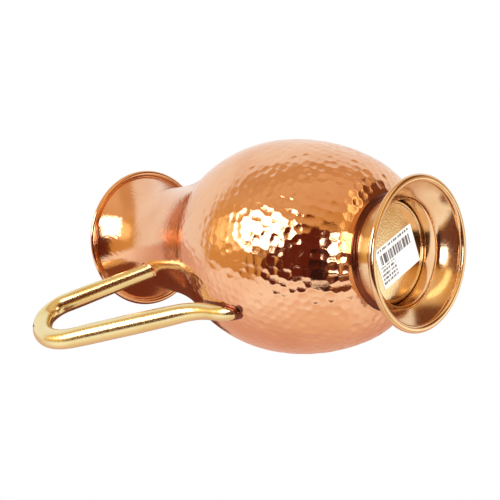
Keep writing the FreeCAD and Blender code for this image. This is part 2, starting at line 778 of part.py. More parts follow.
def make_label():
    """The small paper label stuck to the underside of the base disc."""
    paper = doc.addObject("Part::Box", "price_label")
    paper.setExpression("Length", "Sizes.label_length")
    paper.setExpression("Width", "Sizes.label_width")
    paper.setExpression("Height", "Sizes.label_paper")
    paper.setExpression(".Placement.Rotation.Angle", "Sizes.label_turn")
    turn = "Sizes.label_turn * 1 deg"
    paper.setExpression(".Placement.Base.x",
                        f"Sizes.label_x - Sizes.label_length / 2 * cos({turn})"
                        f" + Sizes.label_width / 2 * sin({turn})")
    paper.setExpression(".Placement.Base.y",
                        f"Sizes.label_y - Sizes.label_length / 2 * sin({turn})"
                        f" - Sizes.label_width / 2 * cos({turn})")
    paper.setExpression(".Placement.Base.z", f"{DISC_BOTTOM} - Sizes.label_paper")
    return paper


# ---------------------------------------------------------------- assembly and export

def build():
    """Make every piece and return those that are written out."""
    outer_form = make_outer_form()
    swollen_form = make_swollen_form()
    belly = make_belly()
    neck = make_neck()
    disc = make_base_disc()
    foot = make_foot_ring()
    pieces = [belly, neck, make_rim_wire(), make_seam_braze(belly, neck), disc, foot]
    pieces.append(make_foot_braze(disc, foot, outer_form))
    pieces.append(make_handle(outer_form))
    pieces += make_handle_brazes(outer_form, swollen_form)
    pieces.append(make_label())
    return pieces


def check(pieces):
    """Stop if any object failed, or if a piece isn't one sound solid."""
    for item in doc.Objects:
        if "Invalid" in item.State or "Error" in item.State:
            raise RuntimeError(f"{item.Label} failed: {item.State}")
    for piece in pieces:
        shape = piece.Shape
        if shape.isNull() or not shape.isValid() or len(shape.Solids) != 1:
            raise RuntimeError(f"{piece.Label} is not one sound solid")


parts = build()
doc.recompute()
check(parts)
os.makedirs("parts", exist_ok=True)
for part in parts:
    part.Shape.exportStep(f"parts/{part.Label}.step")
    print(f"{part.Label:18s} {part.Shape.Volume:9.1f} mm3")
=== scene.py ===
"""Visual model of a hammered copper jug with a brass foot and a brass tube handle.

Everything is in metres, in the CAD's frame: +Z up the jug's axis, the origin at the centre of the
foot's resting face, and the handle in the XZ plane on the +X side. Sizes named in millimetres are
turned into metres where the meshes are made.
"""

import math

import bpy
import numpy as np
from mathutils import Matrix, Vector


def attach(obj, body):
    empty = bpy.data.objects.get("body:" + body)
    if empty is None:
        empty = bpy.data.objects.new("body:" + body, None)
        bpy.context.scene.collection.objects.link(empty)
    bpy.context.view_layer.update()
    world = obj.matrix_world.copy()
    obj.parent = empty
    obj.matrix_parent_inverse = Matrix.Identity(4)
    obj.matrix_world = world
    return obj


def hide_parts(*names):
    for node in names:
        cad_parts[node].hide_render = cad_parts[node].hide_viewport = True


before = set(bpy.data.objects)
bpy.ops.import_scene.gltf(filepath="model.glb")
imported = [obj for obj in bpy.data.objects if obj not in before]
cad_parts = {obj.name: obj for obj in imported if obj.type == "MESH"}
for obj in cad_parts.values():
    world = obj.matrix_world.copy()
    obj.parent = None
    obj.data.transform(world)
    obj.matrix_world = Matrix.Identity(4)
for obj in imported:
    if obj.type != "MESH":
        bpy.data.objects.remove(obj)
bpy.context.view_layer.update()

MM = 0.001
rng = np.random.default_rng(11)

# The shell's arcs, in millimetres, as in the CAD.
HEEL_RADIUS, HEEL_HEIGHT, HEEL_ARC = 32.5, 22.0, 44.0
BELLY_RADIUS, BELLY_HEIGHT, BOWL_ARC, SHOULDER_ARC = 68.0, 100.0, 132.0, 105.0
NECK_RADIUS, NECK_HEIGHT, FLARE_ARC, FLARE_TURN = 39.0, 222.0, 68.0, math.radians(32.5)
MOUTH_RADIUS, JUG_HEIGHT, BEAD_RADIUS, SHEET_WALL = 52.5, 260.0, 2.0, 1.0
BEAD_CENTRE = (MOUTH_RADIUS - BEAD_RADIUS, JUG_HEIGHT - BEAD_RADIUS)

# The foot, the base disc, the label and the handle's centre line, in millimetres, as in the CAD.
FOOT_RADIUS, COLLAR_RADIUS, FOOT_WALL = 44.0, 31.5, 1.6
FOOT_BEND, FOOT_BEND_HEIGHT, BRIM_ARC, LIP_ROUND, SOLE_WIDTH = 4.0, 13.6, 40.0, 1.8, 0.8
DISC_RADIUS, RING_RADIUS, RING_SECTION = 31.4, 28.6, 0.9
LABEL_CENTRE, LABEL_TURN = (-3.0, -5.0), math.radians(7.0)
HANDLE_CORNERS = [(34.0, 206.4), (95.3, 273.1), (130.2, 238.3), (70.0, 123.4), (70.0, 88.0)]
HANDLE_BENDS = [15.0, 46.0, 60.0]
TUBE_RADIUS = 6.75

# How the visual handle differs from the CAD's even tube, in millimetres: both ends are beaten
# narrower over a stretch, and the lower end sinks towards the belly and has a rounded tip.
UPPER_TAPER, UPPER_TAPER_END, UPPER_TAPER_LENGTH = 1.0, 62.0, 50.0
LOWER_TAPER, LOWER_TAPER_START, LOWER_TAPER_LENGTH = 1.6, 78.0, 60.0
END_SINK, END_SINK_LENGTH, TIP_LENGTH = 3.6, 24.0, 12.0

# Hammer marks, in millimetres: wide and deep near the foot, finer and shallower up the neck. Each
# change lists how much is lost, the height where it starts and how far up it takes.
DENT_PITCH, DENT_DEPTH, DENT_REACH, DENT_SOFTNESS = 5.7, 0.34, 6.0, 0.012
PITCH_CHANGES = [(2.0, 80, 55), (0.6, 150, 25)]
DEPTH_CHANGES = [(0.22, 55, 55), (0.09, 150, 25), (-0.02, 235, 5)]

# Half widths, row spacing and jitter as shares of the pitch, and strengths as shares of the depth.
DENT_WIDTHS, ROW_SPACING, DENT_JITTER = (0.56, 0.68), 0.86, 0.12
DENT_STRENGTHS = [0.55, 0.8, 1.05, 1.6]

# How fine the meshes are, with the shell's steps in millimetres. Its inside keeps only some rows.
SHELL_COLUMNS, SHELL_STEP, BELLY_INSIDE_SKIP, NECK_INSIDE_SKIP = 480, 0.9, 10, 2
TURNED_COLUMNS, TUBE_SIDES, BEND_STEPS, BEAD_STEPS = 320, 64, 40, 22


# ---------------------------------------------------------------- the shell's outline

def reach_point(one, reach_one, two, reach_two):
    """Return the point at given distances from two points, right of the way from one to two."""
    one, two = np.array(one), np.array(two)
    gap = np.linalg.norm(two - one)
    along = (reach_one ** 2 - reach_two ** 2 + gap ** 2) / (2 * gap)
    across = math.sqrt(reach_one ** 2 - along ** 2)
    unit = (two - one) / gap
    return one + along * unit + across * np.array([unit[1], -unit[0]])


class Outline:
    """The outside of the shell: its radius at each height, and its points by distance along it."""

    def __init__(self):
        rise = NECK_HEIGHT - BELLY_HEIGHT
        waisting = BELLY_RADIUS - NECK_RADIUS
        span = (waisting ** 2 + rise ** 2) / (2 * waisting)
        self.throat_arc = span - SHOULDER_ARC
        self.seam_height = BELLY_HEIGHT + SHOULDER_ARC * rise / span
        self.heel_centre, self.cheek_height = self.find_heel()
        self.lip_height = NECK_HEIGHT + FLARE_ARC * math.sin(FLARE_TURN)
        z = np.linspace(HEEL_HEIGHT, self.lip_height, 4000)
        r = self.radius(z)
        self.z_table = z
        self.s_table = np.concatenate([[0], np.cumsum(np.hypot(np.diff(r), np.diff(z)))])
        self.length = self.s_table[-1]

    def find_heel(self):
        """Return the heel arc's centre and the height where it runs into the bowl's arc."""
        bowl = np.array([BELLY_RADIUS - BOWL_ARC, BELLY_HEIGHT])
        start = np.array([HEEL_RADIUS, HEEL_HEIGHT])
        centre = reach_point(start, HEEL_ARC, bowl, BOWL_ARC - HEEL_ARC)
        cheek = bowl + (centre - bowl) * BOWL_ARC / np.linalg.norm(centre - bowl)
        return centre, cheek[1]

    def radius(self, z):
        """Return the outside radius at each height, in millimetres."""
        z = np.clip(np.asarray(z, float), HEEL_HEIGHT, self.lip_height)

        def bulge(centre_r, centre_z, arc):
            return centre_r + np.sqrt(np.maximum(arc ** 2 - (z - centre_z) ** 2, 0))

        def waist(centre_r, arc):
            return centre_r - np.sqrt(np.maximum(arc ** 2 - (z - NECK_HEIGHT) ** 2, 0))

        heel = bulge(self.heel_centre[0], self.heel_centre[1], HEEL_ARC)
        bowl = bulge(BELLY_RADIUS - BOWL_ARC, BELLY_HEIGHT, BOWL_ARC)
        shoulder = bulge(BELLY_RADIUS - SHOULDER_ARC, BELLY_HEIGHT, SHOULDER_ARC)
        throat = waist(NECK_RADIUS + self.throat_arc, self.throat_arc)
        flare = waist(NECK_RADIUS + FLARE_ARC, FLARE_ARC)
        limits = [z < self.cheek_height, z < BELLY_HEIGHT, z < self.seam_height, z < NECK_HEIGHT]
        return np.select(limits, [heel, bowl, shoulder, throat], flare)

    def at(self, s):
        """Return radius, height and the outward normal (radial, upward) at distances along it."""
        z = np.interp(s, self.s_table, self.z_table)
        reach = 0.05
        low = np.clip(z - reach, HEEL_HEIGHT, self.lip_height)
        high = np.clip(z + reach, HEEL_HEIGHT, self.lip_height)
        slope = (self.radius(high) - self.radius(low)) / (high - low)
        scale = np.sqrt(1 + slope ** 2)
        return self.radius(z), z, 1 / scale, -slope / scale

    def distance(self, z):
        """Return the distance along the outline at a height."""
        return float(np.interp(z, self.z_table, self.s_table))


outline = Outline()


# ---------------------------------------------------------------- hammer marks

def lessen(size, changes, z):
    """Take each change that applies at a height away from a size."""
    for loss, start, length in changes:
        size = size - loss * np.clip((z - start) / length, 0, 1)
    return size


def lay_dents():
    """Place hammer dents in staggered rows up the shell; return one row of numbers for each.

    The columns are: distance along the outline, angle, half width, depth (millimetres, radians).
    """
    dents = []
    s = 2.0
    row = 0
    while s < outline.length - 2.5:
        r, z, _, _ = outline.at(s)
        pitch = lessen(DENT_PITCH, PITCH_CHANGES, z)
        count = int(round(2 * math.pi * r / pitch))
        depth = lessen(DENT_DEPTH, DEPTH_CHANGES, z)
        depth *= np.clip((s - 1.0) / 6, 0.3, 1) * np.clip((outline.length - s - 4) / 10, 0.1, 1)
        turn = rng.uniform(0, 1)
        for i in range(count):
            angle = 2 * math.pi * (i + 0.5 * (row % 2) + 0.15 * turn) / count
            dents.append((s + rng.normal(0, DENT_JITTER) * pitch,
                          angle + rng.normal(0, DENT_JITTER) * pitch / r,
                          pitch * rng.uniform(*DENT_WIDTHS),
                          depth * rng.choice(DENT_STRENGTHS)))
        s += pitch * ROW_SPACING
        row += 1
    return np.array(dents)


def dent_height(s, angles, dents):
    """Return the surface's height (zero or below, millimetres) at one ring of points.

    Each dent is a bowl; where bowls overlap, a soft minimum leaves a rounded ridge between them.
    """
    r, _, _, _ = outline.at(s)
    near = dents[np.abs(dents[:, 0] - s) < DENT_REACH]
    gap = angles[:, None] - near[None, :, 1]
    gap = (gap + math.pi) % (2 * math.pi) - math.pi
    square = (s - near[None, :, 0]) ** 2 + (r * gap) ** 2
    bowls = near[None, :, 3] * (square / near[None, :, 2] ** 2 - 1)
    total = 1 + np.exp(-np.clip(bowls, -1, 0.2) / DENT_SOFTNESS).sum(1)
    return -DENT_SOFTNESS * np.log(total)


# ---------------------------------------------------------------- meshes

def mesh_object(name, points, faces, normals=None):
    """Make a smooth-shaded object from points in millimetres."""
    mesh = bpy.data.meshes.new(name)
    mesh.from_pydata((np.asarray(points) * MM).tolist(), [], [tuple(f) for f in faces])
    mesh.shade_smooth()
    if normals is not None:
        mesh.normals_split_custom_set_from_vertices(np.asarray(normals).tolist())
    thing = bpy.data.objects.new(name, mesh)
    bpy.context.scene.collection.objects.link(thing)
    return thing


def grid_faces(rows, columns, close_rows):
    """Return the quads of a grid of points that closes on itself along its columns."""
    last = rows if close_rows else rows - 1
    i = np.arange(last)[:, None]
    j = np.arange(columns)[None, :]
    up = (i + 1) % rows
    right = (j + 1) % columns
    quads = np.stack([i * columns + j, i * columns + right,
                      up * columns + right, up * columns + j], -1)
    return quads.reshape(-1, 4).tolist()


def end_caps(rows, columns):
    """Return the two faces that close the ends of a grid that is open along its rows."""
    return [list(range(columns))[::-1], [(rows - 1) * columns + i for i in range(columns)]]


def ring(r, z, angles):
    """Return the points of a level circle, or of a wavy one if r and z are arrays."""
    return np.stack([r * np.cos(angles), r * np.sin(angles), z + 0 * angles], -1)


def hammered_grid(step, columns, dents):
    """Return rows of outside points, inside points and normals, and how many end at the seam."""
    seam = outline.distance(outline.seam_height)
    below = np.linspace(0, seam, int(seam / step) + 1)
    above = np.linspace(seam, outline.length, int((outline.length - seam) / step) + 1)
    s_rows = np.concatenate([below, above[1:]])
    angles = np.linspace(0, 2 * math.pi, columns, endpoint=False)
    outside, inside = [], []
    for s in s_rows:
        r, z, nr, nz = outline.at(s)
        h = dent_height(s, angles, dents)
        outside.append(ring(r + nr * h, z + nz * h, angles))
        h = h - SHEET_WALL
        inside.append(ring(r + nr * h, z + nz * h, angles))
    outside = np.array(outside)
    along = np.gradient(outside, axis=0)
    around = np.roll(outside, -1, 1) - np.roll(outside, 1, 1)
    normal = np.cross(around, along)
    normal /= np.linalg.norm(normal, axis=-1, keepdims=True)
    return outside, np.array(inside), normal, len(below)


def rim_rows(outside, inside, angles):
    """Return the rolled bead's rows from the flare's outside over the top to its inside."""

    def angle_of(row):
        reach = math.hypot(row[0, 0], row[0, 1])
        return math.atan2(row[0, 2] - BEAD_CENTRE[1], reach - BEAD_CENTRE[0])

    first = angle_of(outside[-1])
    last = angle_of(inside[-1]) % (2 * math.pi)
    points, normals = [], []
    for turn in np.linspace(first, last, BEAD_STEPS)[1:-1]:
        points.append(ring(BEAD_CENTRE[0] + BEAD_RADIUS * math.cos(turn),
                           BEAD_CENTRE[1] + BEAD_RADIUS * math.sin(turn), angles))
        normals.append(ring(math.cos(turn), math.sin(turn), angles))
    return np.array(points), np.array(normals)


def outside_bead(rows):
    """Tell which rows of the flare lie outside the rolled bead."""
    r = np.hypot(rows[:, :, 0], rows[:, :, 1]).mean(1)
    z = rows[:, :, 2].mean(1)
    return np.hypot(r - BEAD_CENTRE[0], z - BEAD_CENTRE[1]) > BEAD_RADIUS + 0.02


def make_shell():
    """Build the hammered belly and the hammered neck, which meet at the seam."""
    outside, inside, normal, split = hammered_grid(SHELL_STEP, SHELL_COLUMNS, lay_dents())
    angles = np.linspace(0, 2 * math.pi, SHELL_COLUMNS, endpoint=False)

    rows = np.concatenate([outside[:split], inside[:split][::-BELLY_INSIDE_SKIP]])
    turned = np.concatenate([normal[:split], -normal[:split][::-BELLY_INSIDE_SKIP]])
    belly = mesh_object("belly_hammered", rows.reshape(-1, 3),
                        grid_faces(len(rows), SHELL_COLUMNS, True), turned.reshape(-1, 3))

    kept_outside, kept_inside = outside_bead(outside), outside_bead(inside)
    kept_outside[:split - 1] = False
    kept_inside[:split - 1] = False
    outer, outer_normal = outside[kept_outside], normal[kept_outside]
    inner = inside[kept_inside][::-1][::NECK_INSIDE_SKIP]
    inner_normal = -normal[kept_inside][::-1][::NECK_INSIDE_SKIP]
    bead, bead_normal = rim_rows(outer, inner[::-1], angles)
    rows = np.concatenate([outer, bead, inner])
    turned = np.concatenate([outer_normal, bead_normal, inner_normal])
    neck = mesh_object("neck_hammered", rows.reshape(-1, 3),
                       grid_faces(len(rows), SHELL_COLUMNS, True), turned.reshape(-1, 3))
    return belly, neck


# ---------------------------------------------------------------- turned pieces

def turned_piece(name, profile):
    """Turn a closed outline of (radius, height) points round the axis."""
    angles = np.linspace(0, 2 * math.pi, TURNED_COLUMNS, endpoint=False)
    rows = np.array([ring(r, z, angles) for r, z in profile])
    return mesh_object(name, rows.reshape(-1, 3), grid_faces(len(rows), TURNED_COLUMNS, True))


def arc_points(centre, radius, start, end, count):
    """Return points along an arc between two directions, in degrees."""
    turns = np.radians(np.linspace(start, end, count))
    return [(centre[0] + radius * math.cos(t), centre[1] + radius * math.sin(t)) for t in turns]


def heading(one, two):
    """Return the direction from one point to another, in degrees."""
    return math.degrees(math.atan2(two[1] - one[1], two[0] - one[0]))


def make_foot():
    """Build the brass foot: collar, tight bend, curved brim and thick round lip."""
    bend = (COLLAR_RADIUS + FOOT_BEND, FOOT_BEND_HEIGHT)
    lip = (FOOT_RADIUS - LIP_ROUND, LIP_ROUND)
    inner_lip = (lip[0] - SOLE_WIDTH, LIP_ROUND)
    brim = reach_point(lip, BRIM_ARC + LIP_ROUND, bend, BRIM_ARC - FOOT_BEND)
    inside = BRIM_ARC + FOOT_WALL
    kink = reach_point(inner_lip, LIP_ROUND, brim, inside)
    top = HEEL_HEIGHT - SHEET_WALL
    bend_way, lip_way = heading(brim, bend) % 360, heading(brim, lip) % 360
    profile = [(COLLAR_RADIUS, z) for z in np.linspace(top, FOOT_BEND_HEIGHT, 9)]
    profile += arc_points(bend, FOOT_BEND, 180, bend_way, 12)[1:]
    profile += arc_points(brim, BRIM_ARC, bend_way, lip_way, 26)[1:]
    profile += arc_points(lip, LIP_ROUND, lip_way - 180, -90, 22)[1:]
    profile += arc_points(inner_lip, LIP_ROUND, -90, heading(inner_lip, kink) - 360, 18)
    profile += arc_points(brim, inside, heading(brim, kink) % 360, bend_way, 26)
    profile += arc_points(bend, FOOT_BEND + FOOT_WALL, bend_way, 180, 12)[1:]
    inner = COLLAR_RADIUS - FOOT_WALL
    profile += [(inner, z) for z in np.linspace(FOOT_BEND_HEIGHT, top, 9)[1:]]
    return turned_piece("foot_spun", profile)


def make_disc():
    """Build the flat base disc with the raised ring near its edge."""
    low, high = HEEL_HEIGHT - SHEET_WALL, HEEL_HEIGHT
    pin_hole = 0.05
    profile = [(DISC_RADIUS, high), (DISC_RADIUS, low), (DISC_RADIUS - 0.6, low)]
    profile += arc_points((RING_RADIUS, low), RING_SECTION, 0, -180, 17)
    profile += [(r, low) for r in np.linspace(RING_RADIUS - RING_SECTION - 0.4, pin_hole, 14)]
    profile += [(pin_hole, high)]
    return turned_piece("disc_spun", profile)


def make_foot_fillet():
    """Build the thin line of braze metal between the foot's collar and the belly."""
    drop = 2.1
    r, z, _, _ = outline.at(1.6)
    inner = COLLAR_RADIUS - 0.5
    hollow = [(0.05, -drop), (0.12, -1.4), (0.35, -0.8), (0.9, -0.25)]
    profile = [(inner, HEEL_HEIGHT - drop)]
    profile += [(COLLAR_RADIUS + out, HEEL_HEIGHT + up) for out, up in hollow]
    profile += [(float(r) + 0.05, float(z) - 0.05), (float(r) - 0.4, float(z) + 0.3)]
    profile += [(inner, HEEL_HEIGHT + 0.3)]
    return turned_piece("foot_fillet", profile)


# ---------------------------------------------------------------- handle

def handle_path(step):
    """Return points along the handle's centre line in the XZ plane, and the distance along it.

    The last stretch sinks a little into the belly, as a beaten end does.
    """
    corners = [np.array(c, float) for c in HANDLE_CORNERS]
    points = [corners[0]]
    for before, corner, after, bend in zip(corners, corners[1:], corners[2:], HANDLE_BENDS):
        back_way = (before - corner) / np.linalg.norm(before - corner)
        on_way = (after - corner) / np.linalg.norm(after - corner)
        half = math.acos(np.dot(back_way, on_way)) / 2
        middle = (back_way + on_way) / np.linalg.norm(back_way + on_way)
        centre = corner + middle * bend / math.sin(half)
        start = corner + back_way * bend / math.tan(half) - centre
        end = corner + on_way * bend / math.tan(half) - centre
        spread = math.acos(np.dot(start, end) / bend ** 2)
        for share in np.linspace(0, 1, BEND_STEPS):
            weight = (math.sin((1 - share) * spread), math.sin(share * spread))
            points.append(centre + (weight[0] * start + weight[1] * end) / math.sin(spread))
    points.append(corners[-1])
    points = np.array(points)
    far = np.concatenate([[0], np.cumsum(np.linalg.norm(np.diff(points, axis=0), axis=1))])
    s = np.linspace(0, far[-1], int(far[-1] / step))
    sink = END_SINK * np.clip(1 - (far[-1] - s) / END_SINK_LENGTH, 0, 1) ** 2
    x = np.interp(s, far, points[:, 0]) - sink
    return np.stack([x, np.interp(s, far, points[:, 1])], -1), s


def ease(share):
    """Return a smooth step between 0 and 1."""
    share = np.clip(share, 0, 1)
    return share * share * (3 - 2 * share)


def tube_radius(s, length):
    """Return the tube's outside radius: narrower towards both ends, and slightly uneven."""
    left = length - s
    radius = (TUBE_RADIUS - LOWER_TAPER * ease((LOWER_TAPER_START - left) / LOWER_TAPER_LENGTH)
              - UPPER_TAPER * ease((UPPER_TAPER_END - s) / UPPER_TAPER_LENGTH))
    radius += 0.05 * np.sin(s / 9.0) + 0.05 * np.sin(s / 5.3 + 1.0)
    tip = np.clip(left / TIP_LENGTH, 0, 1)
    return radius * np.sqrt(np.maximum(1 - (1 - tip) ** 2, 0.0004))


def make_handle():
    """Build the bent tube; its ends stay just under the shell's skin."""
    under_skin = 0.5
    path, s = handle_path(1.0)
    along = np.gradient(path, axis=0)
    along /= np.linalg.norm(along, axis=1, keepdims=True)
    turns = np.linspace(0, 2 * math.pi, TUBE_SIDES, endpoint=False)
    rows = []
    for (x, z), (ax, az), radius in zip(path, along, tube_radius(s, s[-1])):
        across = radius * np.cos(turns)
        rows.append(np.stack([x - az * across, radius * np.sin(turns), z + ax * across], -1))
    rows = np.array(rows)
    reach = np.hypot(rows[..., 0], rows[..., 1])
    skin = outline.radius(rows[..., 2]) - under_skin
    push = np.maximum(skin / reach, 1.0)
    rows[..., 0] *= push
    rows[..., 1] *= push
    faces = grid_faces(len(rows), TUBE_SIDES, False) + end_caps(len(rows), TUBE_SIDES)
    return mesh_object("handle_tube", rows.reshape(-1, 3), faces)


def make_fillet(name, low, high, half_width, size):
    """Build the braze metal round one end of the handle, as a patch that hugs the shell.

    It rises in a hollow curve where the tube is nearer than size, and elsewhere it stays just
    under the skin.
    """
    path, s = handle_path(0.5)
    radii = tube_radius(s, s[-1])
    cell, edge_sink, thickness = 0.45, 0.42, 0.7
    heights = np.linspace(low, high, int((high - low) / cell))
    r_mid = float(outline.radius((low + high) / 2))
    angles = np.linspace(-half_width, half_width, int(2 * half_width / cell)) / r_mid
    rows = []
    for z in heights:
        r, _, nr, nz = outline.at(outline.distance(z))
        skin = ring(r, z, angles)
        gap = np.sqrt((skin[:, None, 0] - path[None, :, 0]) ** 2 + skin[:, None, 1] ** 2
                      + (skin[:, None, 2] - path[None, :, 1]) ** 2) - radii[None, :]
        near = np.clip(gap.min(1), 0, size)
        rise = size - np.sqrt(size ** 2 - (size - near) ** 2) - edge_sink * near / size
        normal = ring(nr, nz, angles)
        rows.append(np.concatenate([skin + normal * rise[:, None],
                                    (skin - thickness * normal)[::-1]]))
    width = rows[0].shape[0]
    faces = grid_faces(len(rows), width, False) + end_caps(len(rows), width)
    return mesh_object(name, np.array(rows).reshape(-1, 3), faces)


# ---------------------------------------------------------------- node helpers

def new_material(name):
    """Make a material; return it with its node tree and its main shader."""
    material = bpy.data.materials.new(name)
    material.use_nodes = True
    tree = material.node_tree
    return material, tree, tree.nodes["Principled BSDF"]


def add(tree, kind, inputs=None, **settings):
    """Add a node, set its properties, and set or link its inputs."""
    node = tree.nodes.new(kind)
    for key, value in settings.items():
        setattr(node, key, value)
    for key, value in (inputs or {}).items():
        if isinstance(value, bpy.types.NodeSocket):
            tree.links.new(value, node.inputs[key])
        else:
            node.inputs[key].default_value = value
    return node


def calc(tree, operation, *values):
    """Add a maths node and return its output."""
    inputs = {i: value for i, value in enumerate(values)}
    return add(tree, "ShaderNodeMath", inputs, operation=operation).outputs[0]


def fade(tree, value, low, high, out_low=0.0, out_high=1.0):
    """Add a smooth step from one output to another and return it."""
    inputs = {"Value": value, "From Min": low, "From Max": high,
              "To Min": out_low, "To Max": out_high}
    return add(tree, "ShaderNodeMapRange", inputs, interpolation_type="SMOOTHSTEP").outputs[0]


def both(tree, one, two):
    """Return the mask of the part that two masks share."""
    return calc(tree, "MULTIPLY", one, two)


def blend(tree, share, one, two):
    """Mix two colours and return the result."""
    node = add(tree, "ShaderNodeMix", data_type="RGBA")
    for socket, value in ((node.inputs[0], share), (node.inputs[6], one), (node.inputs[7], two)):
        if isinstance(value, bpy.types.NodeSocket):
            tree.links.new(value, socket)
        elif isinstance(value, (tuple, list)):
            socket.default_value = (*value, 1.0)
        else:
            socket.default_value = value
    return node.outputs[2]


def noise(tree, scale, detail=2.0, vector=None):
    """Add a noise texture and return its factor."""
    inputs = {"Scale": scale, "Detail": detail}
    if vector is not None:
        inputs["Vector"] = vector
    return add(tree, "ShaderNodeTexNoise", inputs).outputs["Fac"]


# ---------------------------------------------------------------- materials

def finish(tree, shader, metallic, colour, roughness, relief, strength, depth):
    """Join a material's colour, roughness and fine relief to its main shader."""
    shader.inputs["Metallic"].default_value = metallic
    grain = add(tree, "ShaderNodeBump", {"Strength": strength, "Distance": depth,
                                         "Height": relief})
    for socket, name in ((colour, "Base Color"), (roughness, "Roughness"),
                         (grain.outputs[0], "Normal")):
        tree.links.new(socket, shader.inputs[name])


def copper_material(name, light, deep, roughness):
    """Hammered or spun copper: two close tones, fine handling marks and a soft polish."""
    material, tree, shader = new_material(name)
    place = add(tree, "ShaderNodeTexCoord").outputs["Object"]
    broad = noise(tree, 28.0, 3.0, place)
    fine = noise(tree, 900.0, 4.0, place)
    tone = blend(tree, fade(tree, broad, 0.35, 0.7), light, deep)
    worn = fade(tree, fine, 0.3, 0.75, roughness, roughness * 1.9)
    finish(tree, shader, 1.0, tone, worn, fine, 0.6, 0.0001)
    return material


def fire_scale_and_shade_mask(tree, place, start):
    """Return the mask of fire scale and painted shade on the outside of the foot's collar.

    It starts at a height in metres, grows up to the brazed joint, and is patchy.
    """
    height = add(tree, "ShaderNodeSeparateXYZ", {"Vector": place}).outputs[2]
    flat = add(tree, "ShaderNodeVectorMath", {0: place, 1: (1.0, 1.0, 0.0)},
               operation="MULTIPLY").outputs[0]
    reach = add(tree, "ShaderNodeVectorMath", {0: flat}, operation="LENGTH").outputs["Value"]
    outer = fade(tree, reach, (COLLAR_RADIUS - FOOT_WALL) * MM, COLLAR_RADIUS * MM)
    patchy = fade(tree, noise(tree, 160.0, 3.0, place), 0.25, 0.6, 0.35, 1.0)
    growing = fade(tree, height, start, HEEL_HEIGHT * MM, 0.0, 0.9)
    return both(tree, both(tree, patchy, outer), growing)


def brass_material(name, light, deep, roughness, scale_and_shade_from=None):
    """Polished metal with slight tarnish in patches; fire scale and painted shade above a height.
    """
    material, tree, shader = new_material(name)
    place = add(tree, "ShaderNodeTexCoord").outputs["Object"]
    broad = noise(tree, 35.0, 4.0, place)
    fine = noise(tree, 700.0, 3.0, place)
    tone = blend(tree, fade(tree, broad, 0.4, 0.75), light, deep)
    if scale_and_shade_from is not None:
        # the collar's outside darkens up to the joint: partly fire scale, partly painted shade
        # under the belly
        tone = blend(tree, fire_scale_and_shade_mask(tree, place, scale_and_shade_from), tone, FIRE_SCALE_AND_SHADE)
    worn = fade(tree, fine, 0.3, 0.8, roughness, roughness * 1.8)
    finish(tree, shader, 1.0, tone, worn, broad, 0.15, 0.0002)
    return material


def dress(thing, material):
    """Give every slot of an object one material."""
    if not thing.data.materials:
        thing.data.materials.append(material)
    for index in range(len(thing.data.materials)):
        thing.data.materials[index] = material


COPPER_LIGHT, COPPER_DEEP = (0.86, 0.50, 0.30), (0.80, 0.42, 0.23)
BRASS_LIGHT, BRASS_DEEP = (0.85, 0.73, 0.39), (0.78, 0.61, 0.27)
DISC_LIGHT, DISC_DEEP = (0.90, 0.70, 0.44), (0.82, 0.56, 0.30)
FOOT_LIGHT, FOOT_DEEP = (0.85, 0.59, 0.36), (0.74, 0.46, 0.23)
# dark braze; at the handle's lower end it also stands for painted contact shadow
BRAZE_AND_SHADE_LIGHT, BRAZE_AND_SHADE_DEEP = (0.22, 0.06, 0.03), (0.09, 0.024, 0.014)
STEEL_LIGHT, STEEL_DEEP = (0.45, 0.44, 0.42), (0.35, 0.34, 0.33)
# a brown for fire scale and for painted shade in the crease under the belly
FIRE_SCALE_AND_SHADE = (0.30, 0.095, 0.035)
PAPER_WHITE, PAPER_GREY, INK = (0.95, 0.95, 0.93), (0.88, 0.88, 0.86), (0.12, 0.10, 0.11)

hammered_copper = copper_material("hammered_copper", COPPER_LIGHT, COPPER_DEEP, 0.085)
spun_copper = copper_material("spun_copper", DISC_LIGHT, DISC_DEEP, 0.10)
polished_brass = brass_material("polished_brass", BRASS_LIGHT, BRASS_DEEP, 0.18)
foot_brass = brass_material("foot_brass", FOOT_LIGHT, FOOT_DEEP, 0.12, FOOT_BEND_HEIGHT * MM)
braze_metal = brass_material("braze_metal", BRAZE_AND_SHADE_LIGHT, BRAZE_AND_SHADE_DEEP, 0.22)
steel_wire = brass_material("steel_wire", STEEL_LIGHT, STEEL_DEEP, 0.3)


